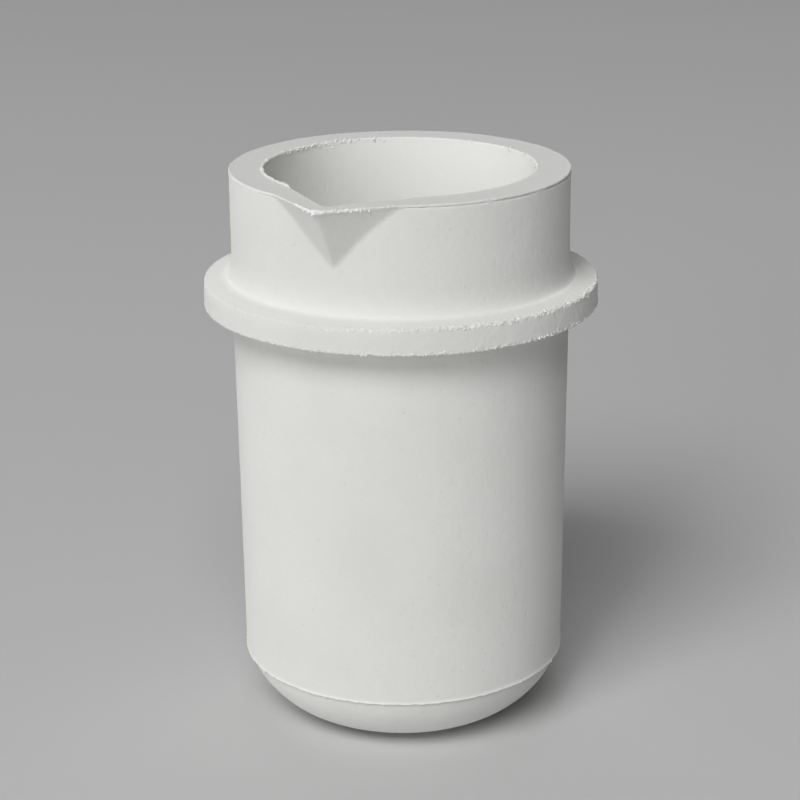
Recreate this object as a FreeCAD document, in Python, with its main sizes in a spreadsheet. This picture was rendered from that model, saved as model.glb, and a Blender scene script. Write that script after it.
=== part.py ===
"""Tall ceramic crucible with a collar and a pouring lip.

The crucible stands on its flat foot at the origin, with +Z up and the pouring lip towards -Y. It is one
fired body, divided at its mould seam and at the faces where one formed section grows out of the next.
Neighbouring sections share those faces, so each section takes its size from the same cells.
"""

import FreeCAD, Part
import Sketcher
import math
import os
import re

Vector = FreeCAD.Vector
SHEET = "Sizes"
TOLERANCE = 1e-4

# Driving dimensions in millimetres: alias, value, meaning.
DIMENSIONS = [
    ("total_height", 84.8, "foot to rim"),
    ("neck_height", 16.3, "collar's top face to rim"),
    ("collar_thickness", 3.9, "collar's top face to its underside"),
    ("seam_height", 9.8, "foot to the mould seam"),
    ("rim_radius", 25.0, "outside of the neck"),
    ("wall", 5.0, "neck's outside to the bore"),
    ("collar_overhang", 4.2, "collar's edge beyond the neck"),
    ("barrel_taper", 0.5, "how much the barrel's radius shrinks down to the seam"),
    ("seam_ledge", 0.2, "base set in from the barrel at the seam"),
    ("knuckle_radius", 13.7, "round of the outer base"),
    ("inner_knuckle_radius", 9.0, "round of the inner floor's edge"),
    ("floor_thickness", 5.0, "foot to the inner floor"),
    ("neck_flare", 1.05, "bevel where the neck stands on the collar"),
    ("rim_round", 0.4, "round of the rim's edges"),
    ("collar_round", 0.4, "round of the collar's edges"),
    ("lip_overhang", 6.0, "lip's tip beyond the neck"),
    ("lip_drop", 9.5, "rim to the foot of the lip's outer ridge"),
    ("lip_root", 9.6, "half width of the lip where it leaves the neck"),
    ("lip_ridge_round", 0.9, "round of the lip's outer ridge"),
    ("lip_wall", 3.4, "tip of the lip to the tip of its channel"),
    ("channel_root", 10.4, "half width of the channel where it leaves the bore"),
    ("channel_drop", 9.5, "rim to the foot of the channel"),
    ("channel_round", 1.2, "round of the channel's bottom"),
    ("lip_margin", 2.0, "neck wall that goes with the lip, beside it and below it"),
]

# Sizes that follow from the driving dimensions.
BORE_RADIUS = "(rim_radius - wall)"
COLLAR_RADIUS = "(rim_radius + collar_overhang)"
COLLAR_TOP = "(total_height - neck_height)"
COLLAR_UNDERSIDE = "(total_height - neck_height - collar_thickness)"
BARREL_SEAM_RADIUS = "(rim_radius - barrel_taper)"
BASE_SEAM_RADIUS = "(rim_radius - barrel_taper - seam_ledge)"
FOOT_RADIUS = f"({BASE_SEAM_RADIUS} - sqrt(knuckle_radius ^ 2 - (knuckle_radius - seam_height) ^ 2))"
FLOOR_RADIUS = f"({BORE_RADIUS} - inner_knuckle_radius)"
INNER_KNUCKLE_TOP = "(floor_thickness + inner_knuckle_radius)"
INNER_SEAM_DROP = f"({INNER_KNUCKLE_TOP} - seam_height)"
INNER_SEAM_RADIUS = f"({FLOOR_RADIUS} + sqrt(inner_knuckle_radius ^ 2 - {INNER_SEAM_DROP} ^ 2))"
LIP_TIP = "(rim_radius + lip_overhang)"
CHANNEL_TIP = f"({LIP_TIP} - lip_wall)"
BLOCK_HALF_WIDTH = "(max(lip_root; channel_root) + lip_margin)"
BLOCK_DEPTH = "(max(lip_drop; channel_drop) + lip_margin)"


def on_circle(radius, across):
    """How far out a point of a circle lies when it is the given distance across."""
    return f"sqrt({radius} ^ 2 - {across} ^ 2)"


def in_sheet(formula):
    """A formula in the sizes' names, as an expression that reads the sheet's cells."""
    names = "|".join(alias for alias, _, _ in DIMENSIONS)
    return re.sub(rf"\b({names})\b", rf"{SHEET}.\1", formula)


def make_sheet(document):
    """The spreadsheet of driving dimensions, one row for each."""
    sheet = document.addObject("Spreadsheet::Sheet", SHEET)
    for row, (alias, value, meaning) in enumerate(DIMENSIONS, start=1):
        sheet.set(f"A{row}", meaning)
        sheet.set(f"B{row}", str(value))
        sheet.setAlias(f"B{row}", alias)
    document.recompute()
    return sheet


def make_body(document, name):
    """An empty body, labelled with its node's name."""
    body = document.addObject("PartDesign::Body", name)
    body.Label = name
    return body


def bind(thing, prop, formula):
    """Bind one property of a feature to a formula in the sizes' names."""
    thing.setExpression(prop, in_sheet(formula))


def number(thing, formula):
    """The present value of a formula."""
    return float(thing.evalExpression(in_sheet(formula)))


def make_sketch(body, name, role, lift=None):
    """An empty sketch on one of the body's origin planes, lifted off it along its normal if asked."""
    sketch = body.newObject("Sketcher::SketchObject", name)
    plane = next(item for item in body.Origin.OriginFeatures if item.Role == role)
    sketch.AttachmentSupport = (plane, [""])
    sketch.MapMode = "FlatFace"
    if lift:
        bind(sketch, "AttachmentOffset.Base.z", lift)
    return sketch


def arc_middle(start, end, radius, leftward):
    """The middle of the shorter arc from start to end that turns left or right."""
    chord = end - start
    half = chord.Length / 2
    side = Vector(-chord.y, chord.x, 0).normalize() * (-1 if leftward else 1)
    return (start + end) / 2 + side * (radius - math.sqrt(radius ** 2 - half ** 2))


def draw_outline(sketch, corners):
    """Draw a closed outline and tie every corner to the sheet.

    Each corner is (x, y) for a straight edge to the next corner, or (x, y, radius, "left" or "right")
    for an arc of that radius that turns that way. All of them are formulas.
    """
    points = [Vector(number(sketch, corner[0]), number(sketch, corner[1]), 0) for corner in corners]
    ends = []
    for index, corner in enumerate(corners):
        start, end = points[index], points[(index + 1) % len(points)]
        if len(corner) == 2:
            edge = sketch.addGeometry(Part.LineSegment(start, end))
            ends.append((edge, 1, 2))
        elif corner[3] == "left":
            middle = arc_middle(start, end, number(sketch, corner[2]), True)
            edge = sketch.addGeometry(Part.Arc(start, middle, end))
            ends.append((edge, 1, 2))
        else:
            middle = arc_middle(start, end, number(sketch, corner[2]), False)
            edge = sketch.addGeometry(Part.Arc(end, middle, start))
            ends.append((edge, 2, 1))
    for index, corner in enumerate(corners):
        edge, first, _ = ends[index]
        before, _, last = ends[index - 1]
        sketch.addConstraint(Sketcher.Constraint("Coincident", before, last, edge, first))
        place_point(sketch, edge, first, "X", corner[0], points[index].x)
        place_point(sketch, edge, first, "Y", corner[1], points[index].y)
        if len(corner) > 2:
            radius = sketch.addConstraint(Sketcher.Constraint("Radius", edge, number(sketch, corner[2])))
            bind(sketch, f"Constraints[{radius}]", corner[2])


def draw_circle(sketch, radius):
    """Draw a circle about the origin and tie its radius to the sheet."""
    edge = sketch.addGeometry(Part.Circle(Vector(), Vector(0, 0, 1), number(sketch, radius)))
    sketch.addConstraint(Sketcher.Constraint("Coincident", edge, 3, -1, 1))
    index = sketch.addConstraint(Sketcher.Constraint("Radius", edge, number(sketch, radius)))
    bind(sketch, f"Constraints[{index}]", radius)


def place_point(sketch, edge, end, axis, formula, value):
    """Hold one coordinate of an edge's end at a formula, or on the axis where it is always zero."""
    if formula == "0":
        on_axis = -2 if axis == "X" else -1
        sketch.addConstraint(Sketcher.Constraint("PointOnObject", edge, end, on_axis))
        return
    index = sketch.addConstraint(Sketcher.Constraint("Distance" + axis, -1, 1, edge, end, value))
    bind(sketch, f"Constraints[{index}]", formula)


def revolve(body, name, corners):
    """Turn an outline in the XZ plane into a solid of revolution about Z."""
    sketch = make_sketch(body, name + "_profile", "XZ_Plane")
    draw_outline(sketch, corners)
    turned = body.newObject("PartDesign::Revolution", name)
    turned.Profile = sketch
    turned.ReferenceAxis = (sketch, ["V_Axis"])
    turned.Angle = 360
    body.Document.recompute()
    return turned


def extrude_down(body, kind, name, sketch, depth, lean=None):
    """Pad or pocket a rim-plane outline downwards; lean is (formula in, formula down) for a slant."""
    feature = body.newObject("PartDesign::" + kind, name)
    feature.Profile = sketch
    feature.UseCustomVector = True
    feature.AlongSketchNormal = True
    feature.Direction = Vector(0, 0, -1)
    if lean:
        bind(feature, "Direction.y", lean[0])
        bind(feature, "Direction.z", f"-({lean[1]})")
    bind(feature, "Length", depth)
    body.Document.recompute()
    return feature


def round_edges(body, name, radius, wanted):
    """Round the edges of the body's last feature for which wanted(edge) is true."""
    last = body.Tip
    names = [f"Edge{index}" for index, edge in enumerate(last.Shape.Edges, start=1) if wanted(edge)]
    if not names:
        raise RuntimeError(f"{name}: no edge to round")
    fillet = body.newObject("PartDesign::Fillet", name)
    fillet.Base = (last, names)
    bind(fillet, "Radius", radius)
    body.Document.recompute()
    return fillet


def at_height(edge, height):
    """Whether a whole edge lies in one horizontal plane."""
    box = edge.BoundBox
    return abs(box.ZMin - height) < TOLERANCE and abs(box.ZMax - height) < TOLERANCE


def is_circle(edge, radius):
    """Whether an edge is a circle of a radius."""
    return edge.Curve.TypeId == "Part::GeomCircle" and abs(edge.Curve.Radius - radius) < TOLERANCE


def runs_between(edge, start, end):
    """Whether an edge joins two points, either way round."""
    ends = [vertex.Point for vertex in edge.Vertexes]
    if len(ends) != 2:
        return False
    straight = (ends[0] - start).Length + (ends[1] - end).Length
    crossed = (ends[0] - end).Length + (ends[1] - start).Length
    return min(straight, crossed) < TOLERANCE


def make_base_cup(document):
    """The rounded bottom: flat foot, knuckle up to the seam, and the inner floor."""
    body = make_body(document, "base_cup")
    revolve(body, "base_cup_wall", [
        ("0", "0"),
        (FOOT_RADIUS, "0", "knuckle_radius", "left"),
        (BASE_SEAM_RADIUS, "seam_height"),
        (INNER_SEAM_RADIUS, "seam_height", "inner_knuckle_radius", "right"),
        (FLOOR_RADIUS, "floor_thickness"),
        ("0", "floor_thickness"),
    ])
    return body


def make_barrel(document):
    """The long wall from the seam up to the collar, with the rest of the inner knuckle."""
    body = make_body(document, "barrel")
    revolve(body, "barrel_wall", [
        (INNER_SEAM_RADIUS, "seam_height"),
        (BARREL_SEAM_RADIUS, "seam_height"),
        ("rim_radius", COLLAR_UNDERSIDE),
        (BORE_RADIUS, COLLAR_UNDERSIDE),
        (BORE_RADIUS, INNER_KNUCKLE_TOP, "inner_knuckle_radius", "right"),
    ])
    return body


def make_collar(document):
    """The square ring round the upper part, with its outer edges eased."""
    body = make_body(document, "collar")
    ring = revolve(body, "collar_ring", [
        (BORE_RADIUS, COLLAR_UNDERSIDE),
        (COLLAR_RADIUS, COLLAR_UNDERSIDE),
        (COLLAR_RADIUS, COLLAR_TOP),
        (BORE_RADIUS, COLLAR_TOP),
    ])
    outer = number(ring, COLLAR_RADIUS)
    round_edges(body, "collar_edges", "collar_round", lambda edge: is_circle(edge, outer))
    return body


def draw_block(sketch):
    """The outline of the stretch of neck that goes with the lip, from the axis out to the neck's face."""
    face = on_circle("rim_radius", BLOCK_HALF_WIDTH)
    draw_outline(sketch, [
        (f"-{BLOCK_HALF_WIDTH}", "0"),
        (f"-{BLOCK_HALF_WIDTH}", f"-{face}", "rim_radius", "left"),
        (BLOCK_HALF_WIDTH, f"-{face}"),
        (BLOCK_HALF_WIDTH, "0"),
    ])


def beside_block(edge, half_width):
    """Whether an edge lies in one of the two upright faces where the lip meets the neck."""
    box = edge.BoundBox
    return box.XLength < TOLERANCE and abs(abs(box.XMin) - half_width) < TOLERANCE


def round_rim(body, name):
    """Round the rim's edges, leaving the faces that meet the next section sharp."""
    top = number(body, "total_height")
    half_width = number(body, BLOCK_HALF_WIDTH)
    round_edges(body, name, "rim_round",
                lambda edge: at_height(edge, top) and not beside_block(edge, half_width))


def make_neck(document):
    """The rim wall above the collar, notched where the lip goes in."""
    body = make_body(document, "neck")
    revolve(body, "neck_wall", [
        (BORE_RADIUS, COLLAR_TOP),
        ("(rim_radius + neck_flare)", COLLAR_TOP),
        ("rim_radius", f"({COLLAR_TOP} + neck_flare)"),
        ("rim_radius", "total_height"),
        (BORE_RADIUS, "total_height"),
    ])
    sketch = make_sketch(body, "lip_notch_outline", "XY_Plane", "total_height")
    draw_block(sketch)
    extrude_down(body, "Pocket", "lip_notch", sketch, BLOCK_DEPTH)
    round_rim(body, "neck_rim")
    return body


def draw_beak(sketch, tip, root_circle, root):
    """A V in the rim plane: its tip, and its root where it meets the neck's face or the bore."""
    out = on_circle(root_circle, root)
    draw_outline(sketch, [
        ("0", f"-{tip}"),
        (root, f"-{out}"),
        (root, "0"),
        (f"-{root}", "0"),
        (f"-{root}", f"-{out}"),
    ])


def make_pouring_lip(document):
    """The beak: two facets that meet in a ridge, the neck wall behind them, and the channel through it."""
    body = make_body(document, "pouring_lip")
    top = number(body, "total_height")
    depth = number(body, BLOCK_DEPTH)

    beak_outline = make_sketch(body, "beak_outline", "XY_Plane", "total_height")
    draw_beak(beak_outline, LIP_TIP, "rim_radius", "lip_root")
    extrude_down(body, "Pad", "beak", beak_outline, BLOCK_DEPTH, ("lip_overhang", "lip_drop"))
    tip = Vector(0, -number(body, LIP_TIP), top)
    slant = Vector(0, number(body, "lip_overhang"), -number(body, "lip_drop"))
    ridge_foot = tip + slant * (depth / -slant.z)
    round_edges(body, "beak_ridge", "lip_ridge_round", lambda edge: runs_between(edge, tip, ridge_foot))

    block_outline = make_sketch(body, "lip_block_outline", "XY_Plane", "total_height")
    draw_block(block_outline)
    extrude_down(body, "Pad", "lip_block", block_outline, BLOCK_DEPTH)

    bore_outline = make_sketch(body, "lip_bore_outline", "XY_Plane", "total_height")
    draw_circle(bore_outline, BORE_RADIUS)
    extrude_down(body, "Pocket", "lip_bore", bore_outline, BLOCK_DEPTH)

    channel_outline = make_sketch(body, "channel_outline", "XY_Plane", "total_height")
    draw_beak(channel_outline, CHANNEL_TIP, BORE_RADIUS, "channel_root")
    reach = f"({CHANNEL_TIP} - {BORE_RADIUS})"
    extrude_down(body, "Pocket", "channel", channel_outline, BLOCK_DEPTH, (reach, "channel_drop"))
    channel_tip = Vector(0, -number(body, CHANNEL_TIP), top)
    channel_foot = Vector(0, -number(body, BORE_RADIUS), top - number(body, "channel_drop"))
    round_edges(body, "channel_bottom", "channel_round",
                lambda edge: runs_between(edge, channel_tip, channel_foot))
    round_rim(body, "lip_rim")
    return body


def check(document, bodies):
    """Stop if any feature failed or any section isn't one valid solid."""
    for item in document.Objects:
        if "Invalid" in item.State or "Error" in item.State:
            raise RuntimeError(f"{item.Name} failed: {item.State}")
    for body in bodies:
        shape = body.Shape
        if shape.isNull() or not shape.isValid() or len(shape.Solids) != 1:
            raise RuntimeError(f"{body.Label} is not one valid solid")


def main():
    """Build every section and write each to its own file."""
    document = FreeCAD.newDocument("crucible")
    make_sheet(document)
    makers = [make_base_cup, make_barrel, make_collar, make_neck, make_pouring_lip]
    bodies = [make(document) for make in makers]
    document.recompute()
    check(document, bodies)
    os.makedirs("parts", exist_ok=True)
    for body in bodies:
        body.Shape.exportStep(f"parts/{body.Label}.step")
        print(f"{body.Label}: {body.Shape.Volume:.1f} mm3")


main()
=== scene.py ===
"""Looks of a tall, collared, unglazed ceramic crucible with a pouring lip.

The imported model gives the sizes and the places. Every section of the crucible is rebuilt here as a fine
mesh with softened edges, then given a fired skin: shallow waves, grain, chipped edges, crumbs that stayed
on the edges, and the thin flash that the mould left along its seams.
"""

import logging
import math
from collections.abc import Callable
from dataclasses import dataclass, field
from enum import Enum

import bpy
import numpy as np
from mathutils import Matrix, Vector


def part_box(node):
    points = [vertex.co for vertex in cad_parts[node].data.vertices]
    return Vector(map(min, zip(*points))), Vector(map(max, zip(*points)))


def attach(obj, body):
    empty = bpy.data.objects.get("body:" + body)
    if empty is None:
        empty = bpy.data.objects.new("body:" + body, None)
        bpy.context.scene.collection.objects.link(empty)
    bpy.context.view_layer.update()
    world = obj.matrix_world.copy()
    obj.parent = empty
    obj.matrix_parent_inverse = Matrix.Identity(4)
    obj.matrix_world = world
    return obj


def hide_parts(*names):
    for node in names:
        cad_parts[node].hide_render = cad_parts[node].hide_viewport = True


LOG = logging.getLogger("crucible")
MM = 0.001
BODY = "root"
Socket = bpy.types.NodeSocket
Colour = tuple[float, float, float]
Place = tuple[float, float]

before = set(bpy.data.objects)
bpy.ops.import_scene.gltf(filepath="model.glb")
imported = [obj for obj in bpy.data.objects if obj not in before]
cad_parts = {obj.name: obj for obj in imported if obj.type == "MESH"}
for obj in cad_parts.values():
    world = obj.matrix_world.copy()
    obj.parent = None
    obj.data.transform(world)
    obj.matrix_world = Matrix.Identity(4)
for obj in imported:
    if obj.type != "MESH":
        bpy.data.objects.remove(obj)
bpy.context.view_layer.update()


def fill(node: bpy.types.Node, values: dict[object, object]) -> None:
    """Link or set a node's inputs.

    Args:
        node: The node.
        values: For each input, by name or number, a socket or a value. None leaves it as it is.
    """
    for name, value in values.items():
        if isinstance(value, Socket):
            node.id_data.links.new(value, node.inputs[name])
        elif value is not None:
            node.inputs[name].default_value = value


def add_node(tree: bpy.types.NodeTree, kind: str, values: dict[object, object] | None = None,
             **settings: object) -> bpy.types.Node:
    """Add a node to a tree.

    Args:
        tree: The tree.
        kind: The node's type.
        values: What its inputs are linked or set to.
        settings: Its properties.

    Returns:
        The node.
    """
    made = tree.nodes.new(kind)
    for name, value in settings.items():
        setattr(made, name, value)
    fill(made, values or {})
    return made


def placed(name: str, data: bpy.types.ID) -> bpy.types.Object:
    """Put a new object into the scene, at the origin.

    Args:
        name: The object's name.
        data: What it holds.

    Returns:
        The object.
    """
    made = bpy.data.objects.new(name, data)
    bpy.context.scene.collection.objects.link(made)
    return made


def along_round(t: float, start: object, corner: object, end: object) -> object:
    """Where a round over a corner lies, from its start at 0 to its end at 1."""
    return (1 - t) ** 2 * start + 2 * t * (1 - t) * corner + t ** 2 * end


class Edge(Enum):
    """The exposed edges of the crucible, each with wear of its own."""

    NONE = 0
    INNER_RIM = 1
    OUTER_RIM = 2
    UPPER_COLLAR = 3
    UNDER_COLLAR = 4
    SEAM = 5


@dataclass(frozen=True)
class Form:
    """The crucible's sizes, in metres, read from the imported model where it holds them.

    Attributes:
        wall: Thickness of the wall round the bore.
        rim_round: Radius of the rim's edges.
        collar_round: Radius of the collar's edges.
        seam_ledge: How far the base is set in from the barrel at the mould seam.
        knuckle: Radius of the round between the foot and the seam.
        inner_knuckle: Radius of the round between the cavity's floor and the bore.
        floor_thickness: Height of the cavity's floor.
        flare: How far the neck spreads where it runs into the collar.
        flare_height: Height of that flare.
        collar_rise: How much higher the collar's top face is at the flare than at its edge.
        lip_overhang: How far the lip's tip stands out from the neck.
        lip_drop: Height of the lip's outer ridge.
        lip_root: Half the width of the lip where it leaves the neck.
        lip_wall: Thickness of the lip at its tip.
        channel_root: Half the width of the channel where it leaves the bore.
        channel_drop: Height of the channel's bottom line.
    """

    wall: float = 5.0 * MM
    rim_round: float = 0.18 * MM
    collar_round: float = 0.28 * MM
    flare: float = 1.05 * MM
    flare_height: float = 4.3 * MM
    collar_rise: float = 0.40 * MM
    seam_ledge: float = 0.2 * MM
    knuckle: float = 13.7 * MM
    inner_knuckle: float = 9.0 * MM
    floor_thickness: float = 5.0 * MM
    lip_overhang: float = 6.0 * MM
    lip_drop: float = 9.5 * MM
    lip_root: float = 9.6 * MM
    lip_wall: float = 3.4 * MM
    channel_root: float = 10.4 * MM
    channel_drop: float = 9.5 * MM

    @property
    def radius(self) -> float:
        """Outside radius of the neck and of the barrel's top."""
        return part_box("barrel")[1].x

    @property
    def bore(self) -> float:
        """Radius of the melt cavity."""
        return self.radius - self.wall

    @property
    def base_radius(self) -> float:
        """Radius of the base where it meets the mould seam."""
        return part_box("base_cup")[1].x

    @property
    def seam(self) -> float:
        """Height of the mould seam."""
        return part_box("base_cup")[1].z

    @property
    def seam_turn(self) -> float:
        """Angle from straight down at which the seam meets the cavity's round."""
        return math.acos((self.floor_thickness + self.inner_knuckle - self.seam) / self.inner_knuckle)

    @property
    def collar_radius(self) -> float:
        """Outside radius of the collar."""
        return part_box("collar")[1].x

    @property
    def collar_low(self) -> float:
        """Height of the collar's underside."""
        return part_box("collar")[0].z

    @property
    def collar_high(self) -> float:
        """Height of the collar's top face."""
        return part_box("collar")[1].z

    @property
    def rim(self) -> float:
        """Height of the rim."""
        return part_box("neck")[1].z

    @property
    def lip_half(self) -> float:
        """Half the width of the stretch of neck that goes with the lip."""
        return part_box("pouring_lip")[1].x

    @property
    def lip_floor(self) -> float:
        """Height of the bottom of that stretch."""
        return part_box("pouring_lip")[0].z


@dataclass(frozen=True)
class Stretch:
    """A stretch of an edge that is more worn than the rest.

    Attributes:
        start: Bearing where it starts, in degrees from the lip towards +X.
        end: Bearing where it ends.
        strength: How worn it is there. 1 is fully worn, and a tall burr is more.
        fade: How many degrees its soft ends take.
    """

    start: float
    end: float
    strength: float
    fade: float = 4.0

    def weight(self, bearing: np.ndarray) -> np.ndarray:
        """How worn each point is, with soft ends.

        Args:
            bearing: Bearings of the points, in degrees.

        Returns:
            The weight of each point.
        """
        middle, half = (self.start + self.end) / 2, (self.end - self.start) / 2
        away = np.abs((bearing - middle + 180) % 360 - 180)
        return self.strength * np.clip((half - away) / self.fade + 0.5, 0, 1)


@dataclass(frozen=True)
class Wear:
    """How worn one edge is all round.

    Attributes:
        everywhere: Wear where no stretch says otherwise.
        stretches: The stretches that are more worn.
    """

    everywhere: float = 0.0
    stretches: tuple[Stretch, ...] = ()

    def weight(self, points: np.ndarray) -> np.ndarray:
        """The wear at each point.

        Args:
            points: The points, one row each.

        Returns:
            The weight of each point.
        """
        bearing = np.degrees(np.arctan2(points[:, 0], -points[:, 1]))
        weights = [stretch.weight(bearing) for stretch in self.stretches]
        return np.maximum.reduce([np.full(len(points), self.everywhere), *weights])


@dataclass(frozen=True)
class EdgeState:
    """What has happened to one edge since it left the mould.

    Attributes:
        rough: How ragged and chipped it is.
        crumbs: How thickly crumbs of the body sit on it.
        burr: How far the mould's thin flash still stands up along it.
        groove: How deep the thin groove beside that flash is.
    """

    rough: Wear = Wear()
    crumbs: Wear = Wear()
    burr: Wear = Wear()
    groove: Wear = Wear()


@dataclass
class Row:
    """One ring of points of a wall, all at one place of the wall's cross-section.

    Attributes:
        out: Distance from the axis, in metres.
        height: Height, in metres.
        edge: How close the row is to an exposed edge, from 0 to 1.
        key: That edge, which chooses the wear.
        groove: How much the thin groove beside the edge cuts in here, from 0 to 1.
    """

    out: float
    height: float
    edge: float = 0.0
    key: Edge = Edge.NONE
    groove: float = 0.0


def spread(length: float, fine: float, coarse: float, low: bool, high: bool) -> list[float]:
    """Places along a run from 0 to 1, closer together near the ends that are edges.

    Args:
        length: Length of the run.
        fine: Spacing at an edge.
        coarse: Spacing away from it.
        low: Whether the run's start is an edge.
        high: Whether its end is an edge.

    Returns:
        The places, with both ends.
    """
    places, at = [0.0], 0.0
    while at < length:
        near = min(at if low else length, (length - at) if high else length)
        at += fine + (coarse - fine) * min(1.0, near / (6 * fine))
        places.append(min(at, length))
    if len(places) > 2 and places[-1] - places[-2] < fine / 2:
        places.pop(-2)
    return [place / length for place in places]


def run(start: Place, end: Place, fine: float, coarse: float,
        low: Edge = Edge.NONE, high: Edge = Edge.NONE, reach: float = 0.5 * MM) -> list[Row]:
    """Rows along a straight stretch of a cross-section.

    Args:
        start: Distance out and height of the first row.
        end: The same of the last row.
        fine: Spacing of the rows at an edge.
        coarse: Spacing elsewhere.
        low: The edge at the start, if there is one.
        high: The edge at the end, if there is one.
        reach: How far an edge's wear reaches along the face.

    Returns:
        The rows, with both ends.
    """
    length = math.dist(start, end)
    rows = []
    from_low, from_high = low is not Edge.NONE, high is not Edge.NONE
    for place in spread(length, fine, coarse, from_low, from_high):
        to_low = place * length if from_low else math.inf
        to_high = (1 - place) * length if from_high else math.inf
        nearest, key = (to_low, low) if to_low <= to_high else (to_high, high)
        out = start[0] + (end[0] - start[0]) * place
        height = start[1] + (end[1] - start[1]) * place
        rows.append(Row(out, height, max(0.0, 1 - nearest / reach), key))
    return rows


def grooved(rows: list[Row], away: float = 0.22 * MM, half: float = 0.14 * MM) -> list[Row]:
    """Mark the thin groove that runs beside the edge at a wall's first row.

    Args:
        rows: The wall's rows, from its edge on.
        away: Distance of the groove's middle from the edge.
        half: Half its width.

    Returns:
        The same rows.
    """
    for row in rows:
        distance = math.dist((row.out, row.height), (rows[0].out, rows[0].height))
        row.groove = max(0.0, 1 - abs(distance - away) / half)
    return rows


def bend(start: Place, corner: Place, end: Place, key: Edge, steps: int = 5) -> list[Row]:
    """Rows round a softened corner of a cross-section, without its two ends.

    Args:
        start: Where the round starts.
        corner: The sharp corner that it softens.
        end: Where the round ends.
        key: The edge.
        steps: Number of steps.

    Returns:
        The rows between the ends.
    """
    rows = []
    for index in range(1, steps):
        t = index / steps
        out, height = (along_round(t, *ends) for ends in zip(start, corner, end))
        rows.append(Row(out, height, 1.0, key))
    return rows


def by_corners(faces: list[tuple[int, ...]]) -> list[np.ndarray]:
    """Faces as arrays of point numbers, one array for each number of corners.

    Args:
        faces: The faces, as point numbers.

    Returns:
        The arrays.
    """
    groups: dict[int, list[tuple[int, ...]]] = {}
    for face in faces:
        groups.setdefault(len(face), []).append(face)
    return [np.array(group, dtype=int) for group in groups.values()]


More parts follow.
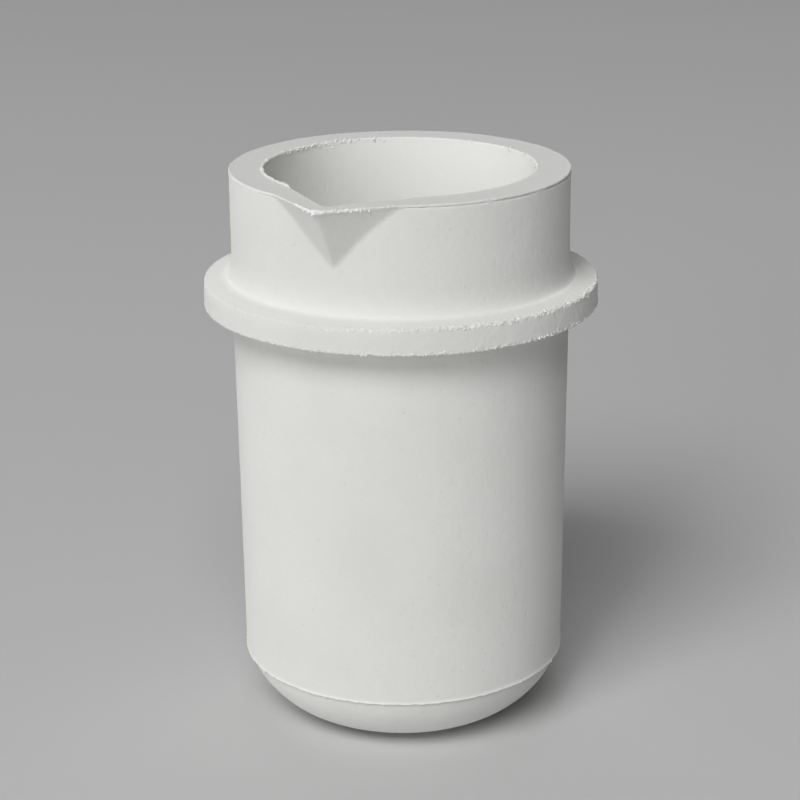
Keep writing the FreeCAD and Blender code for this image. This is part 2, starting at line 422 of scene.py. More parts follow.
@dataclass
class Shell:
    """A closed wall made of faces that show and faces that lie against the next section.

    Attributes:
        points: The points, one row each.
        shown: The faces that show, as lists of point numbers.
        hidden: The faces that lie against a neighbour.
        edge: How close each point is to an exposed edge.
        keys: The number of that edge, for each point.
        groove: How much the groove beside that edge cuts in, for each point.
        WHITENED: How much whiter the deepest of the recess above the collar is drawn, from 0 to 1: painted
            bounce light.
        WHITENED_FACE: Share of that on the open part of the collar's top face.
        WHITENED_FADE: Distance over which the one becomes the other.
    """

    WHITENED = 0.58
    WHITENED_FACE = 0.3
    WHITENED_FADE = 0.8 * MM

    points: np.ndarray
    shown: list[tuple[int, ...]]
    hidden: list[tuple[int, ...]]
    edge: np.ndarray
    keys: np.ndarray
    groove: np.ndarray

    def outward(self) -> np.ndarray:
        """The direction that each point faces, from the faces that show.

        Returns:
            The directions, one row each.
        """
        normals = np.zeros_like(self.points)
        for faces in by_corners(self.shown):
            across = self.points[faces[:, 2]] - self.points[faces[:, 0]]
            along = self.points[faces[:, -1]] - self.points[faces[:, 1]]
            facing = np.cross(across, along)
            for corner in range(faces.shape[1]):
                np.add.at(normals, faces[:, corner], facing)
        length = np.linalg.norm(normals, axis=1)
        length[length == 0] = 1
        return normals / length[:, None]

    def turn_outward(self) -> None:
        """Turn every face round if the shell is inside out."""
        volume = 0.0
        for faces in by_corners(self.shown + self.hidden):
            first = self.points[faces[:, 0]]
            for corner in range(1, faces.shape[1] - 1):
                second, third = self.points[faces[:, corner]], self.points[faces[:, corner + 1]]
                volume += float(np.einsum("ij,ij", first, np.cross(second, third)))
        if volume < 0:
            self.shown = [face[::-1] for face in self.shown]
            self.hidden = [face[::-1] for face in self.hidden]

    def relief(self, foot: float = 0.6 * MM) -> np.ndarray:
        """How much of the skin's relief each point gets: none at the flat foot and inside joints.

        Args:
            foot: Height over which it comes in, from the foot up.

        Returns:
            From 0 to 1, for each point.
        """
        share = np.zeros(len(self.points))
        for faces in by_corners(self.shown):
            share[faces.ravel()] = 1
        return share * np.clip(self.points[:, 2] / foot, 0, 1)

    def inside(self, outward: np.ndarray, floor: float) -> np.ndarray:
        """Which points belong to the cavity: walls that face the axis, and its floor.

        Args:
            outward: The direction that each point faces.
            floor: Height of the cavity's floor.

        Returns:
            From 0 outside to 1 inside, for each point.
        """
        out = np.hypot(self.points[:, 0], self.points[:, 1])
        across = (outward[:, :2] * self.points[:, :2]).sum(axis=1) / np.maximum(out, MM)
        upward = (outward[:, 2] > 0) & (self.points[:, 2] < 3 * floor) & (self.points[:, 2] > floor / 2)
        return np.where(upward, 1.0, np.clip(-3 * across, 0, 1))

    def painted_recess_light(self, form: Form) -> np.ndarray:
        """How much each point of the recess above the collar is whitened, as painted bounce light between
        collar and neck.

        Args:
            form: The crucible's sizes.

        Returns:
            From 0 in the open to WHITENED in the recess, for each point.
        """
        out = np.hypot(self.points[:, 0], self.points[:, 1])
        above = self.points[:, 2] - form.collar_high
        low = np.clip(1 - above / (form.flare_height + form.collar_rise), 0, 1) ** 1.5
        near = np.clip(1 - (out - form.radius - form.flare) / self.WHITENED_FADE, 0, 1)
        white = self.WHITENED * low * (self.WHITENED_FACE + (1 - self.WHITENED_FACE) * near)
        return np.where((above >= 0) & (out >= form.radius - 0.1 * MM), white, 0)

    def mesh_object(self, name: str, states: dict[Edge, EdgeState], form: Form) -> bpy.types.Object:
        """Make the mesh, with the attributes that the fired skin reads.

        Args:
            name: The object's name.
            states: The state of each of its edges.
            form: The crucible's sizes.

        Returns:
            The object, at the origin.
        """
        self.turn_outward()
        near = {"rough": self.edge, "crumbs": self.edge ** 2, "burr": self.edge ** 2, "groove": self.groove}
        layers = {label: np.zeros(len(self.points)) for label in near}
        for key, state in states.items():
            on_edge = self.keys == key.value
            for label, close in near.items():
                layers[label][on_edge] = (close * getattr(state, label).weight(self.points))[on_edge]
        outward = self.outward()
        layers["relief"] = self.relief()
        # Painted bounce light: the cavity, and the recess above the collar, are marked to be drawn whiter.
        layers["cavity"] = np.maximum(self.inside(outward, form.floor_thickness), self.painted_recess_light(form))
        # Painted shade: the rim's up-facing face is marked to be drawn greyer, for less light falling there.
        on_rim = self.points[:, 2] > form.rim - form.rim_round / 2
        layers["ground"] = np.where(on_rim, np.clip(4 * outward[:, 2] - 3, 0, 1), 0)
        mesh = bpy.data.meshes.new(name)
        mesh.from_pydata(self.points.tolist(), [], self.shown + self.hidden)
        mesh.attributes.new("outward", "FLOAT_VECTOR", "POINT").data.foreach_set("vector", outward.ravel())
        for label, values in layers.items():
            mesh.attributes.new(label, "FLOAT", "POINT").data.foreach_set("value", values.astype(np.float32))
        mesh.update()
        return placed(name, mesh)


def lathe(rows: list[Row], segments: int, hidden_rows: set[int], capped: bool = False) -> Shell:
    """Turn a cross-section about the axis.

    Args:
        rows: The rows, in order round the cross-section.
        segments: How many columns go round.
        hidden_rows: Numbers of the rows whose faces on to the next row lie against a neighbour.
        capped: Whether the first and last row lie on the axis, so that the section isn't a ring.

    Returns:
        The closed shell.
    """
    angles = np.linspace(0, 2 * math.pi, segments, endpoint=False)
    turn = np.stack([np.sin(angles), -np.cos(angles)], axis=1)
    body = rows[1:-1] if capped else rows
    points = [np.column_stack([turn * row.out, np.full(segments, row.height)]) for row in body]
    marks = np.repeat([(row.edge, row.key.value, row.groove) for row in body], segments, axis=0)
    shown, hidden = [], []
    count = len(body)
    for j in range(count - capped):
        faces = hidden if j + capped in hidden_rows else shown
        low, high = j * segments, ((j + 1) % count) * segments
        for i in range(segments):
            k = (i + 1) % segments
            faces.append((low + i, low + k, high + k, high + i))
    if capped:
        total = count * segments
        for row, ring, pole in ((rows[0], 0, total), (rows[-1], total - segments, total + 1)):
            points.append(np.array([[0.0, 0.0, row.height]]))
            sides = [(ring + i, ring + (i + 1) % segments) for i in range(segments)]
            shown += [(pole, *(side if ring else side[::-1])) for side in sides]
        marks = np.vstack([marks, np.zeros((2, 3))])
    return Shell(np.vstack(points), shown, hidden, *marks.T)


class FiredSkin:
    """The Geometry Nodes tree that turns a smooth wall into a fired one."""

    NAME = "fired_skin"
    SHARP = math.radians(50)
    BURR_LEVEL = 0.55
    GROOVE_CONTRAST, GROOVE_LEVEL = 2.5, 0.75
    CRUMB_LEAST, CRUMB_MOST = (0.35, 0.35, 0.25), (1.5, 1.1, 0.9)
    INPUTS = (
        ("Wave Height", 0.06 * MM), ("Wave Size", 9.0 * MM),
        ("Grain Height", 0.04 * MM), ("Grain Size", 0.7 * MM),
        ("Chip Depth", 0.8 * MM), ("Chip Size", 1.3 * MM), ("Chip Start", 1.1),
        ("Tooth Height", 0.2 * MM), ("Tooth Size", 0.42 * MM),
        ("Burr Height", 0.2 * MM), ("Burr Size", 0.7 * MM),
        ("Groove Depth", 0.24 * MM), ("Groove Size", 3.0 * MM),
        ("Crumb Size", 0.23 * MM), ("Crumbs per Square Metre", 6.0e6),
    )

    def __init__(self, material: bpy.types.Material) -> None:
        """Build the tree.

        Args:
            material: What the wall and its crumbs are made of.
        """
        self.tree = bpy.data.node_groups.new(self.NAME, "GeometryNodeTree")
        self.sockets: dict[str, str] = {}
        face = self.tree.interface
        for way in ("INPUT", "OUTPUT"):
            face.new_socket("Geometry", in_out=way, socket_type="NodeSocketGeometry")
        for name, default in self.INPUTS:
            socket = face.new_socket(name, in_out="INPUT", socket_type="NodeSocketFloat")
            socket.default_value = default
            self.sockets[name] = socket.identifier
        seed = face.new_socket("Seed", in_out="INPUT", socket_type="NodeSocketInt")
        self.sockets["Seed"] = seed.identifier
        self.given = add_node(self.tree, "NodeGroupInput").outputs
        self.build(material)

    def node(self, kind: str, values: dict[object, object], **settings: object) -> Socket:
        """Add a node to the tree and take its first output."""
        return add_node(self.tree, kind, values, **settings).outputs[0]

    def sum(self, operation: str, first: object, second: object) -> Socket:
        """A scalar sum of two sockets or numbers."""
        return self.node("ShaderNodeMath", {0: first, 1: second}, operation=operation)

    def plus(self, first: object, second: object) -> Socket:
        """Two sockets or numbers added."""
        return self.sum("ADD", first, second)

    def times(self, first: object, second: object) -> Socket:
        """Two sockets or numbers multiplied."""
        return self.sum("MULTIPLY", first, second)

    def attribute(self, name: str, kind: str = "FLOAT") -> Socket:
        """A named attribute of the wall."""
        made = add_node(self.tree, "GeometryNodeInputNamedAttribute", {"Name": name}, data_type=kind)
        return made.outputs["Attribute"]

    def noise(self, name: str, shift: float, detail: float) -> Socket:
        """Noise in space, from -1 to 1.

        Args:
            name: Start of the name of the input that holds its features' size.
            shift: Moves the pattern, so that two noises differ.
            detail: How many finer layers it has.

        Returns:
            The noise's socket.
        """
        scale = self.sum("DIVIDE", 1.0, self.given[name + " Size"])
        values = {"Scale": scale, "W": self.plus(self.given["Seed"], shift), "Detail": detail}
        made = self.node("ShaderNodeTexNoise", values, noise_dimensions="4D")
        return self.times(self.sum("SUBTRACT", made, 0.5), 2.0)

    def raised(self, name: str, shift: float, detail: float) -> Socket:
        """Noise as high as the input of that name says."""
        return self.times(self.noise(name, shift, detail), self.given[name + " Height"])

    def marked(self, wall: Socket, fresh: object) -> Socket:
        """Store how freshly broken each point of a wall is."""
        values = {"Geometry": wall, "Name": "fresh", "Value": fresh}
        return self.node("GeometryNodeStoreNamedAttribute", values, data_type="FLOAT", domain="POINT")

    def build(self, material: bpy.types.Material) -> None:
        """Lay out the nodes: skin, ragged edges, chips, burr and groove, then crumbs.

        Args:
            material: What the wall and its crumbs are made of.
        """
        given = self.given
        skin = self.plus(self.raised("Wave", 0.0, 1.0), self.raised("Grain", 5.0, 2.0))
        skin = self.times(skin, self.attribute("relief"))
        rough, burr = self.attribute("rough"), self.attribute("burr")
        teeth = self.times(self.raised("Tooth", 13.0, 1.0), rough)
        bite = self.sum("SUBTRACT", self.plus(self.noise("Chip", 9.0, 2.0), rough), given["Chip Start"])
        bite = self.sum("MAXIMUM", bite, 0.0)
        edge = self.sum("SUBTRACT", teeth, self.times(bite, given["Chip Depth"]))
        uneven = self.sum("MAXIMUM", self.plus(self.noise("Burr", 17.0, 2.0), self.BURR_LEVEL), 0.0)
        standing = self.times(self.times(burr, uneven), given["Burr Height"])
        broken = self.times(self.noise("Groove", 21.0, 3.0), self.GROOVE_CONTRAST)
        broken = self.sum("MAXIMUM", self.plus(broken, self.GROOVE_LEVEL), 0.0)
        groove = self.times(self.attribute("groove"), self.sum("MINIMUM", broken, 1.0))
        flash = self.sum("SUBTRACT", standing, self.times(groove, given["Groove Depth"]))
        offset = self.plus(skin, self.plus(edge, flash))
        values = {0: self.attribute("outward", "FLOAT_VECTOR"), "Scale": offset}
        moved = self.node("ShaderNodeVectorMath", values, operation="SCALE")
        wall = self.marked(given["Geometry"], self.plus(bite, self.times(burr, 0.5)))
        wall = self.node("GeometryNodeSetPosition", {"Geometry": wall, "Offset": moved})
        joined = add_node(self.tree, "GeometryNodeJoinGeometry", {0: self.crumbs(wall)})
        fill(joined, {0: wall})
        whole = self.node("GeometryNodeRealizeInstances", {0: joined.outputs[0]})
        dressed = self.node("GeometryNodeSetMaterial", {"Geometry": whole, "Material": material})
        add_node(self.tree, "NodeGroupOutput", {0: dressed})

    def crumbs(self, wall: Socket) -> Socket:
        """Scatter crumbs over the parts of the wall whose crumbs attribute isn't nothing.

        Args:
            wall: The displaced wall.

        Returns:
            The crumbs, as real geometry.
        """
        given = self.given
        thickly = self.times(self.attribute("crumbs"), given["Crumbs per Square Metre"])
        values = {"Mesh": wall, "Density": thickly, "Seed": given["Seed"]}
        points = self.node("GeometryNodeDistributePointsOnFaces", values, distribute_method="RANDOM")
        stone = self.node("GeometryNodeMeshIcoSphere", {"Subdivisions": 1, "Radius": given["Crumb Size"]})
        turn, size = (self.node("FunctionNodeRandomValue", {0: least, 1: most}, data_type="FLOAT_VECTOR")
                      for least, most in ((None, (2 * math.pi,) * 3), (self.CRUMB_LEAST, self.CRUMB_MOST)))
        values = {"Points": points, "Instance": stone, "Rotation": turn, "Scale": size}
        stones = self.node("GeometryNodeInstanceOnPoints", values)
        return self.marked(self.node("GeometryNodeRealizeInstances", {0: stones}), 1.0)

    def fire(self, obj: bpy.types.Object, **values: float) -> None:
        """Give a smooth wall its skin and bake it into a plain mesh.

        Args:
            obj: The smooth wall.
            values: Inputs that differ from the tree's own, by name with underscores.
        """
        modifier = obj.modifiers.new(self.NAME, "NODES")
        modifier.node_group = self.tree
        for name, value in values.items():
            modifier[self.sockets[name.replace("_", " ").title().replace("Per", "per")]] = value
        bpy.context.view_layer.update()
        graph = bpy.context.evaluated_depsgraph_get()
        baked = bpy.data.meshes.new_from_object(obj.evaluated_get(graph))
        obj.modifiers.clear()
        smooth = obj.data
        obj.data = baked
        bpy.data.meshes.remove(smooth)
        baked.name = obj.name
        baked.shade_smooth()
        baked.set_sharp_from_angle(angle=self.SHARP)


@dataclass(frozen=True)
class UnglazedCeramic:
    """The crucible's finish: matte, slightly warm white, with fine grain, faint clouds and a few specks.

    Attributes:
        colour: Main colour.
        cavity: Whiter colour of the cavity and of the recess above the collar: painted bounce light between
            the walls.
        ground: Greyer colour of the rim's up-facing face: painted shade, for less light falling there.
        cloud: Slightly darker colour of the clouds.
        speck: Colour of the small dark specks.
        chip: Colour of freshly chipped edges and crumbs.
        roughness: How matte the surface is.
        grain_size: Size of the grain that the bump draws.
        grain_height: Height of that grain.
    """

    colour: Colour = (0.800, 0.806, 0.782)
    cavity: Colour = (0.970, 0.970, 0.947)
    ground: Colour = (0.755, 0.761, 0.737)
    cloud: Colour = (0.770, 0.775, 0.750)
    speck: Colour = (0.73, 0.722, 0.688)
    chip: Colour = (0.92, 0.92, 0.90)
    roughness: float = 0.88
    grain_size: float = 0.35 * MM
    grain_height: float = 0.05 * MM

    def material(self) -> bpy.types.Material:
        """Build the material.

        Returns:
            The material.
        """
        made = bpy.data.materials.new("unglazed_ceramic")
        made.use_nodes = True
        tree = made.node_tree
        place = add_node(tree, "ShaderNodeTexCoord").outputs["Object"]

        def noise(size: float, detail: float, shift: float) -> Socket:
            """Noise with features of a size in metres."""
            values = {"Vector": place, "Scale": 1 / size, "Detail": detail, "W": shift}
            return add_node(tree, "ShaderNodeTexNoise", values, noise_dimensions="4D").outputs[0]

        def ramp(source: Socket, low: float, high: float) -> Socket:
            """Stretch a range of values to 0 and 1, with soft ends.

            Args:
                source: The values.
                low: The value that becomes 0.
                high: The value that becomes 1.

            Returns:
                The stretched values.
            """
            values = {"Value": source, "From Min": low, "From Max": high}
            made = add_node(tree, "ShaderNodeMapRange", values, interpolation_type="SMOOTHSTEP")
            return made.outputs["Result"]

        def mix(share: Socket, first: object, second: Colour) -> Socket:
            """Mix two colours."""
            values = {"Factor": share, 6: first, 7: (*second, 1.0)}
            return add_node(tree, "ShaderNodeMix", values, data_type="RGBA").outputs[2]

        def attribute(name: str) -> Socket:
            """A value that the mesh carries."""
            return add_node(tree, "ShaderNodeAttribute", attribute_name=name).outputs["Fac"]

        clouds = mix(ramp(noise(14 * MM, 3.0, 0.0), 0.35, 0.75), (*self.colour, 1.0), self.cloud)
        mottled = mix(ramp(noise(1.6 * MM, 2.0, 2.0), 0.58, 0.8), clouds, self.cloud)
        specked = mix(ramp(noise(0.6 * MM, 0.0, 4.0), 0.76, 0.86), mottled, self.speck)
        # Painted bounce light: the cavity and the recess above the collar take a whiter colour, for light
        # bounced between the walls.
        toned = mix(attribute("cavity"), specked, self.cavity)
        # Painted shade: the rim's up-facing face takes a greyer colour.
        toned = mix(attribute("ground"), toned, self.ground)
        colour = mix(ramp(attribute("fresh"), 0.0, 0.5), toned, self.chip)
        grain = {0: noise(self.grain_size, 4.0, 6.0), 1: ramp(noise(0.9 * MM, 1.0, 8.0), 0.72, 0.66)}
        height = add_node(tree, "ShaderNodeMath", grain, operation="ADD").outputs[0]
        values = {"Strength": 0.5, "Distance": self.grain_height, "Height": height}
        bump = add_node(tree, "ShaderNodeBump", values).outputs["Normal"]
        fill(tree.nodes["Principled BSDF"], {
            "Base Color": colour, "Normal": bump, "Roughness": self.roughness,
            "Specular IOR Level": 0.25, "Diffuse Roughness": 0.6})
        return made


@dataclass(frozen=True)
class StudioPaper:
    """The floor's finish: plain pale paper."""

    colour: Colour = (0.72, 0.72, 0.72)

    def material(self) -> bpy.types.Material:
        """Build the material.

        Returns:
            The material.
        """
        made = bpy.data.materials.new("studio_paper")
        made.use_nodes = True
        shader = made.node_tree.nodes["Principled BSDF"]
        fill(shader, {"Base Color": (*self.colour, 1.0), "Roughness": 0.9, "Specular IOR Level": 0.1})
        return made


@dataclass
class Section:
    """One section of the crucible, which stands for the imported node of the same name.

    Attributes:
        form: The crucible's sizes.
        skin: The tree that fires it.
        fine: Spacing of the mesh at an edge.
        coarse: Spacing of the mesh elsewhere.
        inside: Spacing of the mesh in the cavity.
        seed: Seed of its grain and crumbs.
        name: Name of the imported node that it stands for.
        columns: How many columns of points go round it.
        states: What has happened to its edges.
        settings: Inputs of the skin that are its own, by name with underscores.
    """

    form: Form
    skin: FiredSkin
    fine: float = 0.1 * MM
    coarse: float = 0.32 * MM
    inside: float = 1.2 * MM
    seed: int = 3
    name: str = ""
    columns: int = 480
    states: dict[Edge, EdgeState] = field(default_factory=dict)
    settings: dict[str, float] = field(default_factory=dict)

    def shell(self) -> Shell:
        """The section's smooth shape."""
        raise NotImplementedError

    def cavity_round(self, first: float, last: float) -> list[Row]:
        """Rows down the round between the bore and the cavity's floor.

        Args:
            first: Angle from straight down where they start.
            last: Angle where they end.

        Returns:
            The rows, with both ends.
        """
        form, radius = self.form, self.form.inner_knuckle
        steps = math.ceil(radius * (first - last) / self.inside)
        angles = [first + (last - first) * index / steps for index in range(steps + 1)]
        return [Row(form.bore - radius + radius * math.sin(angle),
                    form.floor_thickness + radius - radius * math.cos(angle)) for angle in angles]

    def make(self) -> None:
        """Build the section, fire it and tie it to its body."""
        piece = self.shell().mesh_object(self.name + "_fired", self.states, self.form)
        self.skin.fire(piece, seed=self.seed, **self.settings)
        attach(piece, BODY)
        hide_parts(self.name)
        LOG.info("%s: %d faces", piece.name, len(piece.data.polygons))


@dataclass
class BaseCup(Section):
    """The rounded bottom, from the flat foot up to the mould seam.

    Attributes:
        seam_reach: How far below the seam its wear reaches.
        groove_reach: How far below the seam the groove under it reaches.
    """

    name: str = "base_cup"
    seam_reach: float = 0.6 * MM
    groove_reach: float = 0.45 * MM

    def shell(self) -> Shell:
        """Foot, outer knuckle, the face under the barrel, inner knuckle and floor.

        Returns:
            The smooth shape.
        """
        form = self.form
        lift = math.acos((form.knuckle - form.seam) / form.knuckle)
        foot = form.base_radius - form.knuckle * math.sin(lift)
        rows = run((0.0, 0.0), (foot, 0.0), self.coarse, self.coarse)
        for place in spread(form.knuckle * lift, self.fine, self.coarse, False, True)[1:]:
            angle = lift * place
            out = foot + form.knuckle * math.sin(angle)
            height = form.knuckle * (1 - math.cos(angle))
            near, groove = (max(0.0, 1 - (form.seam - height) / reach)
                            for reach in (self.seam_reach, self.groove_reach))
            rows.append(Row(out, height, near, Edge.SEAM, groove))
        face = len(rows) - 1
        rows += self.cavity_round(form.seam_turn, 0.0)
        middle = form.bore - form.inner_knuckle
        rows += run((middle, form.floor_thickness), (0.0, form.floor_thickness), self.inside, self.inside)[1:]
        return lathe(rows, self.columns, {face}, capped=True)


@dataclass
class Barrel(Section):
    """The long wall between the mould seam and the collar, with the mould's flash at its foot.

    Attributes:
        bore_step: Spacing of the mesh down the bore.
    """

    name: str = "barrel"
    coarse: float = 0.42 * MM
    bore_step: float = 1.5 * MM

    def shell(self) -> Shell:
        """Outer wall, the face under the collar, the bore and the rest of the inner knuckle.

        Returns:
            The smooth shape.
        """
        form = self.form
        foot = form.base_radius + form.seam_ledge
        rows = [Row(form.base_radius, form.seam)]
        rows += run((foot, form.seam), (form.radius, form.collar_low), self.fine, self.coarse, low=Edge.SEAM)
        face = len(rows) - 1
        end = form.floor_thickness + form.inner_knuckle
        rows += run((form.bore, form.collar_low), (form.bore, end), self.bore_step, self.bore_step)
        rows += self.cavity_round(math.pi / 2, form.seam_turn)[1:]
        return lathe(rows, self.columns, {face, len(rows) - 1})


@dataclass
class Collar(Section):
    """The square-edged ring that the crucible hangs by, the most knocked part of it.

    Attributes:
        side_step: Spacing of the mesh up its side.
        softened: How rounded its upper edge is, all round.
        soft_reach: How far from that edge the rounding reaches.
        soft_depth: How much it takes off there.
    """

    name: str = "collar"
    columns: int = 1240
    side_step: float = 0.22 * MM
    softened: Wear = Wear(0.15, (Stretch(-62, 16, 1.0, 30), Stretch(150, 220, 0.6, 30)))
    soft_reach: float = 1.5 * MM
    soft_depth: float = 0.34 * MM

    def shell(self) -> Shell:
        """Underside, edge, side, edge, top, and the stretch of bore inside.

        Returns:
            The smooth shape.
        """
        form, soft = self.form, self.form.collar_round
        low, high, out = form.collar_low, form.collar_high, form.collar_radius
        rows = [Row(form.bore, low)]
        rows += run((form.radius, low), (out - soft, low), self.fine, self.coarse, high=Edge.UNDER_COLLAR)
        rows += bend((out - soft, low), (out, low), (out, low + soft), Edge.UNDER_COLLAR)
        rows += run((out, low + soft), (out, high - soft), self.fine, self.side_step,
                    low=Edge.UNDER_COLLAR, high=Edge.UPPER_COLLAR)
        rows += bend((out, high - soft), (out, high), (out - soft, high), Edge.UPPER_COLLAR)
        flare = (form.radius + form.flare, high + form.collar_rise)
        rows += run((out - soft, high), flare, self.fine, self.coarse, low=Edge.UPPER_COLLAR)
        face = len(rows) - 1
        rows += run((form.bore, high), (form.bore, low), self.inside, self.inside)[:-1]
        shell = lathe(rows, self.columns, {0, face})
        corner = np.hypot(np.hypot(shell.points[:, 0], shell.points[:, 1]) - out, shell.points[:, 2] - high)
        drop = self.softened.weight(shell.points) * np.clip(1 - corner / self.soft_reach, 0, 1) ** 2
        shell.points[:, 2] -= drop * self.soft_depth
        shell.points[:, :2] *= (1 - drop * self.soft_depth / out)[:, None]
        return shell


def soft_max(first: np.ndarray, second: np.ndarray, blend: float) -> np.ndarray:
    """The larger of two values, rounded where they come nearer to each other than the blend."""
    near = np.maximum(blend - np.abs(first - second), 0) / blend
    return np.maximum(first, second) + near ** 2 * blend / 4


@dataclass
class Neck(Section):
    """The upstanding rim wall, notched where the pouring lip is set in.

    Its columns lean so that the first and the last lie in the notch's two flat sides, while those at
    the back point straight out from the axis.

    Attributes:
        notch_columns: How many columns cross the wall under the notch.
        flare_steps: How many rows the flare has.
        wall_step: Spacing of the mesh up the bore.
    """

    name: str = "neck"
    columns: int = 540
    notch_columns: int = 80
    flare_steps: int = 24
    wall_step: float = 0.5 * MM

    def wall_rows(self) -> tuple[list[Row], int, int]:
        """The cross-section from the foot of the bore, over the rim, to the foot of the flare.

        Returns:
            The rows, and the numbers of the inner and the outer row at the notch's floor.
        """
        form, soft = self.form, self.form.rim_round
        low, floor, rim = form.collar_high, form.lip_floor, form.rim
        rows = run((form.bore, low), (form.bore, floor), self.inside, self.inside)
        inner = len(rows) - 1
        rows += run((form.bore, floor), (form.bore, rim - soft), self.fine, self.wall_step,
                    high=Edge.INNER_RIM)[1:]
        rows += bend((form.bore, rim - soft), (form.bore, rim), (form.bore + soft, rim), Edge.INNER_RIM)
        middle = (form.bore + form.radius) / 2
        rows += run((form.bore + soft, rim), (middle, rim), self.fine, self.coarse, low=Edge.INNER_RIM)
        rows += run((middle, rim), (form.radius - soft, rim), self.fine, self.coarse, high=Edge.OUTER_RIM)[1:]
        rows += bend((form.radius - soft, rim), (form.radius, rim), (form.radius, rim - soft), Edge.OUTER_RIM)
        rows += grooved(run((form.radius, rim - soft), (form.radius, floor), self.fine, self.coarse,
                            low=Edge.OUTER_RIM))
        outer = len(rows) - 1
        foot = low + form.collar_rise
        top = foot + form.flare_height
        rows += run((form.radius, floor), (form.radius, top), self.coarse, self.coarse)[1:-1]
        for index in range(self.flare_steps + 1):
            share = index / self.flare_steps
            out = form.radius + form.flare * share ** 2
            rows.append(Row(out, foot + form.flare_height * (1 - share) ** 2))
        return rows, inner, outer

    def shell(self) -> Shell:
        """The whole ring below the notch's floor, and the open ring above it.

        Returns:
            The smooth shape.
        """
        rows, inner, outer = self.wall_rows()
        out = np.array([row.out for row in rows])
        height = np.array([row.height for row in rows])
        side = np.arcsin(self.form.lip_half / out)
        columns = []
        for index in range(self.columns + 1):
            share = index / self.columns
            columns.append((side + (2 * math.pi - 2 * side) * share, range(len(rows))))
        low_rows = [*range(inner + 1), *range(outer, len(rows))]
        for index in range(1, self.notch_columns):
            across = -self.form.lip_half + 2 * self.form.lip_half * index / self.notch_columns
            columns.append((np.arcsin(across / out), low_rows))
        points, used, numbers = [], [], []
        for angle, present in columns:
            numbers.append({})
            for row in present:
                numbers[-1][row] = len(points)
                sideways, ahead = math.sin(angle[row]), -math.cos(angle[row])
                points.append((sideways * out[row], ahead * out[row], height[row]))
                used.append(rows[row])
        shown, hidden = [], []
        for index, here in enumerate(numbers):
            there = numbers[(index + 1) % len(numbers)]
            above = index < self.columns
            for row in range(len(rows)):
                following = (row + 1) % len(rows)
                if not above and inner < row < outer:
                    continue
                if not above and row == inner:
                    following = outer
                face = (here[row], there[row], there[following], here[following])
                rests = row == len(rows) - 1 or (not above and row == inner)
                (hidden if rests else shown).append(face)
        first, last = numbers[0], numbers[self.columns]
        hidden.append(tuple(first[row] for row in range(inner, outer + 1)))
        hidden.append(tuple(last[row] for row in range(outer, inner - 1, -1)))
        edge, keys, groove = np.array([(row.edge, row.key.value, row.groove) for row in used]).T
        return Shell(np.array(points), shown, hidden, edge, keys, groove)


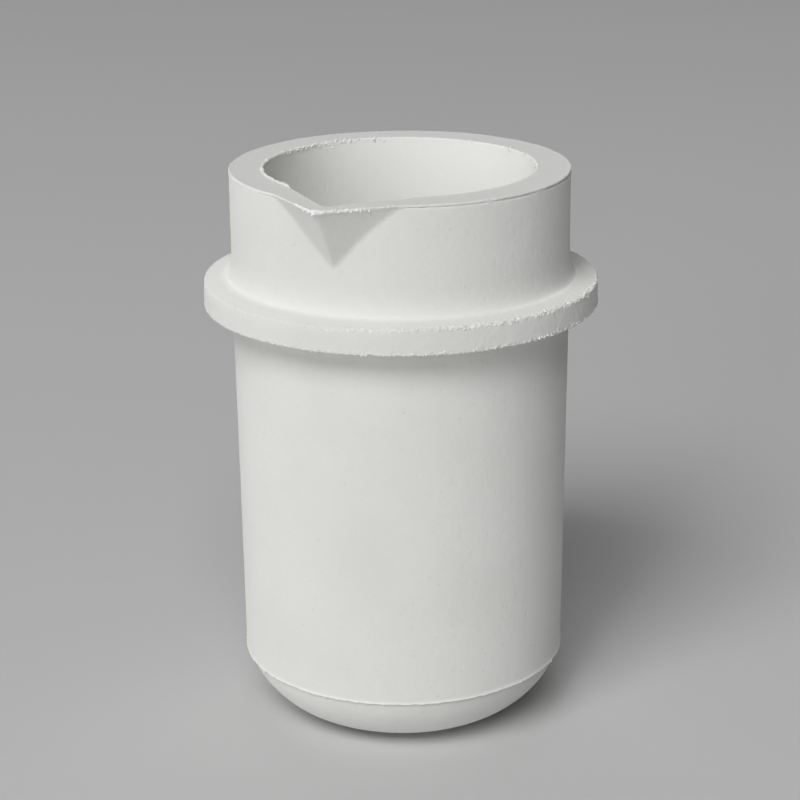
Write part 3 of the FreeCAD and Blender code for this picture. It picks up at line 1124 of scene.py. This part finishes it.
@dataclass
class PouringLip(Section):
    """The beak and its channel, with the stretch of neck wall that goes with them.

    Attributes:
        across_step: Spacing of the mesh across the lip and down its outside.
        channel_step: Spacing up the channel.
        face_step: Spacing across the rim's face.
        crease: How near the lip and the wall have to be for the round between them to start.
        ridge: Radius of the lip's outer ridge, and half that of its channel.
        face_length: Width that the rim's face is divided up for.
    """

    name: str = "pouring_lip"
    face_length: float = 4.0 * MM
    across_step: float = 0.15 * MM
    channel_step: float = 0.22 * MM
    face_step: float = 0.2 * MM
    crease: float = 0.35 * MM
    ridge: float = 0.35 * MM

    def outside(self, across: np.ndarray, height: float) -> np.ndarray:
        """How far out the outer face lies.

        Args:
            across: Distances to either side of the lip's middle.
            height: Height above the foot.

        Returns:
            Distances out from the axis, along the lip.
        """
        form = self.form
        tip, root = form.radius + form.lip_overhang, math.sqrt(form.radius ** 2 - form.lip_root ** 2)
        slope = (tip - root) / form.lip_root
        side = np.sqrt(across ** 2 + self.ridge ** 2) - self.ridge * 0.35
        facet = tip - slope * side - (form.rim - height) * form.lip_overhang / form.lip_drop
        return soft_max(facet, np.sqrt(form.radius ** 2 - across ** 2), self.crease)

    def inside_face(self, across: np.ndarray, height: float) -> np.ndarray:
        """How far out the inner face lies: the bore, or the channel where it is deeper.

        Args:
            across: Distances to either side of the lip's middle.
            height: Height above the foot.

        Returns:
            Distances out from the axis, along the lip.
        """
        form = self.form
        tip = form.radius + form.lip_overhang - form.lip_wall
        root = math.sqrt(form.bore ** 2 - form.channel_root ** 2)
        slope = (tip - root) / form.channel_root
        side = np.sqrt(across ** 2 + (2 * self.ridge) ** 2) - self.ridge
        groove = tip - slope * side - (form.rim - height) * (tip - form.bore) / form.channel_drop
        return soft_max(groove, np.sqrt(form.bore ** 2 - across ** 2), self.crease)

    def shell(self) -> Shell:
        """Rows over the rim for every column from one side of the notch to the other.

        Returns:
            The smooth shape.
        """
        form, soft = self.form, self.form.rim_round
        rim, floor, half = form.rim, form.lip_floor, form.lip_half
        across = np.linspace(-half, half, 2 * round(half / self.across_step) + 1)
        inner_rim, outer_rim = self.inside_face(across, rim), self.outside(across, rim)
        rows: list[tuple[np.ndarray, Row]] = []

        def round_over(face: Callable[[np.ndarray, float], np.ndarray], flat: np.ndarray, key: Edge) -> list:
            """Rows round a rim edge, from the wall to the flat.

            Args:
                face: How far out the wall lies, by place across and height.
                flat: Where the round ends on the flat.
                key: The edge.

            Returns:
                For each row, how far out its points lie, and the row.
            """
            start, corner = face(across, rim - soft), face(across, rim)
            return [(along_round(t, start, corner, flat), Row(0, rim - soft * (1 - t) ** 2, 1.0, key))
                    for t in (0.2, 0.4, 0.6, 0.8)]

        for row in run((0, floor), (0, rim - soft), self.fine, self.channel_step, high=Edge.INNER_RIM):
            rows.append((self.inside_face(across, row.height), row))
        rows += round_over(self.inside_face, inner_rim + soft, Edge.INNER_RIM)
        for row in run((0, rim), (self.face_length, rim), self.fine, self.face_step,
                       low=Edge.INNER_RIM, high=Edge.OUTER_RIM):
            share = row.out / self.face_length
            rows.append(((inner_rim + soft) * (1 - share) + (outer_rim - soft) * share, row))
        rows += reversed(round_over(self.outside, outer_rim - soft, Edge.OUTER_RIM))
        for row in grooved(run((0, rim - soft), (0, floor), self.fine, self.across_step, low=Edge.OUTER_RIM)):
            rows.append((self.outside(across, row.height), row))

        count, total = len(across), len(rows)
        points = np.vstack([np.column_stack([across, -out, np.full(count, row.height)]) for out, row in rows])
        marks = np.repeat([(row.edge, row.key.value, row.groove) for _, row in rows], count, axis=0)
        shown, hidden = [], []
        for row in range(total):
            following = (row + 1) % total
            for i in range(count - 1):
                low, high = row * count + i, following * count + i
                face = (low, low + 1, high + 1, high)
                (hidden if following == 0 else shown).append(face)
        hidden.append(tuple(row * count for row in range(total)))
        hidden.append(tuple(row * count + count - 1 for row in reversed(range(total))))
        return Shell(points, shown, hidden, *marks.T)


@dataclass
class Studio:
    """The pale floor, the soft lights and the camera.

    Attributes:
        bearing: Where the camera stands, in degrees from the lip towards +X.
        distance: How far the camera stands from the axis.
        above_rim: How high it is above the rim.
        pitch: How far it looks down, in degrees.
        yaw: How far it looks to one side of the axis, in degrees.
        roll: How far it is turned about its own line of sight, in degrees.
        lens: Focal length in millimetres.
        floor_half: Half the side of the floor.
        lamp_distance: How far each lamp hangs from the crucible.
        paper: The floor's finish.
    """

    form: Form
    bearing: float = 21.85
    distance: float = 319.07 * MM
    above_rim: float = 70.78 * MM
    pitch: float = 18.535
    yaw: float = -0.047
    roll: float = -0.485
    lens: float = 100.0
    floor_half: float = 3.0
    lamp_distance: float = 3.0
    paper: StudioPaper = field(default_factory=StudioPaper)

    def direction(self, bearing: float, lift: float) -> Vector:
        """A direction from the object, by bearing from the lip and height in degrees."""
        turn, rise = math.radians(bearing), math.radians(lift)
        return Vector((math.sin(turn) * math.cos(rise), -math.cos(turn) * math.cos(rise), math.sin(rise)))

    def floor(self) -> None:
        """Lay the floor."""
        half = self.floor_half
        mesh = bpy.data.meshes.new("floor")
        corners = [(-half, -half, 0), (half, -half, 0), (half, half, 0), (-half, half, 0)]
        mesh.from_pydata(corners, [], [(0, 1, 2, 3)])
        mesh.materials.append(self.paper.material())
        laid = placed("floor", mesh)

    def lamp(self, name: str, bearing: float, lift: float, size: float, power: float) -> None:
        """Hang one soft lamp that faces the crucible.

        Args:
            name: Its name.
            bearing: Where it hangs, in degrees from the camera's bearing, to the camera's right.
            lift: How high it hangs, in degrees above the floor.
            size: The side of its square face, in metres.
            power: Its power, in watts.
        """
        light = bpy.data.lights.new(name, "AREA")
        light.shape, light.size, light.energy = "SQUARE", size, power
        hung = placed(name, light)
        centre = Vector((0, 0, self.form.rim / 2))
        way = self.direction(self.bearing + bearing, lift)
        hung.location = centre + way * self.lamp_distance
        hung.rotation_euler = way.to_track_quat("Z", "Y").to_euler()

    def lights(self) -> None:
        """Hang the lamps and set the air's own light."""
        self.lamp("key", -30, 46, 1.25, 30.8)
        self.lamp("front", -5, 46, 1.25, 23.0)
        self.lamp("low", -30, 12, 1.2, 21.0)
        self.lamp("back", 180, 50, 2.0, 10.0)
        world = bpy.data.worlds.new("air")
        world.use_nodes = True
        fill(world.node_tree.nodes["Background"], {"Color": (1, 1, 1, 1), "Strength": 0.04})
        bpy.context.scene.world = world
        bpy.context.scene.view_settings.view_transform = "Standard"

    def camera(self) -> None:
        """Place the camera."""
        turn, pitch, roll = (math.radians(angle) for angle in (self.yaw, self.pitch, self.roll))
        ahead = Vector((math.sin(turn) * math.cos(pitch), math.cos(turn) * math.cos(pitch),
                        -math.sin(pitch)))
        right = Vector((math.cos(turn), -math.sin(turn), 0))
        up = right.cross(ahead)
        across = math.cos(roll) * right + math.sin(roll) * up
        upward = math.cos(roll) * up - math.sin(roll) * right
        facing = Matrix((across, upward, -ahead)).transposed().to_4x4()
        place = Matrix.Translation((0, -self.distance, self.form.rim + self.above_rim))
        data = bpy.data.cameras.new("camera")
        data.lens, data.sensor_width = self.lens, 36.0
        data.clip_start = 0.01
        made = placed("camera", data)
        made.matrix_world = Matrix.Rotation(math.radians(self.bearing), 4, "Z") @ place @ facing
        bpy.context.scene.camera = made

    def build(self) -> None:
        """Set everything up."""
        self.camera()
        self.floor()
        self.lights()


def main() -> None:
    """Build the studio and every section of the crucible."""
    logging.basicConfig(level=logging.INFO, format="%(message)s")
    form = Form()
    Studio(form).build()
    skin = FiredSkin(UnglazedCeramic().material())
    rim = {
        Edge.OUTER_RIM: EdgeState(
            rough=Wear(0.3, (Stretch(-12, 24, 0.9), Stretch(50, 60, 1.0))),
            crumbs=Wear(0.01, (Stretch(-7, 19, 0.55),)),
            burr=Wear(0.25, (Stretch(-60, -10, 0.55, 20), Stretch(-10, 12, 0.9), Stretch(-2.5, 2.5, 2.4))),
            groove=Wear(0.0, (Stretch(24, 110, 1.0), Stretch(-48, -22, 0.6)))),
        Edge.INNER_RIM: EdgeState(
            rough=Wear(0.3, (Stretch(-150, -70, 0.7), Stretch(100, 150, 0.6))),
            crumbs=Wear(0.03, (Stretch(-150, -95, 0.8, 15), Stretch(-34, -26, 0.6), Stretch(110, 150, 0.2))),
            burr=Wear(0.3, (Stretch(-66, -27, 1.5), Stretch(60, 150, 0.4)))),
    }
    seam = {Edge.SEAM: EdgeState(rough=Wear(0.45), crumbs=Wear(0.03), burr=Wear(1.2), groove=Wear(0.8))}
    sections = [
        BaseCup(form, skin, states={Edge.SEAM: EdgeState(groove=Wear(0.8))}),
        Barrel(form, skin, states=seam),
        Collar(form, skin, states={
            Edge.UPPER_COLLAR: EdgeState(
                rough=Wear(0.35, (Stretch(30, 112, 1.0), Stretch(0, 30, 0.9))),
                crumbs=Wear(0.06, (Stretch(34, 108, 0.55), Stretch(0, 30, 0.8))),
                burr=Wear(0.2, (Stretch(34, 108, 0.3),))),
            Edge.UNDER_COLLAR: EdgeState(
                rough=Wear(0.5, (Stretch(-20, 112, 0.85),)),
                crumbs=Wear(0.04, (Stretch(-5, 90, 0.4),)))},
            settings={"crumb_size": 0.17 * MM, "grain_height": 0.065 * MM, "tooth_height": 0.3 * MM}),
        Neck(form, skin, states=rim, settings={"grain_height": 0.055 * MM}),
        PouringLip(form, skin, states=rim),
    ]
    for section in sections:
        section.make()
    bpy.context.view_layer.update()


if __name__ == "__main__":
    main()
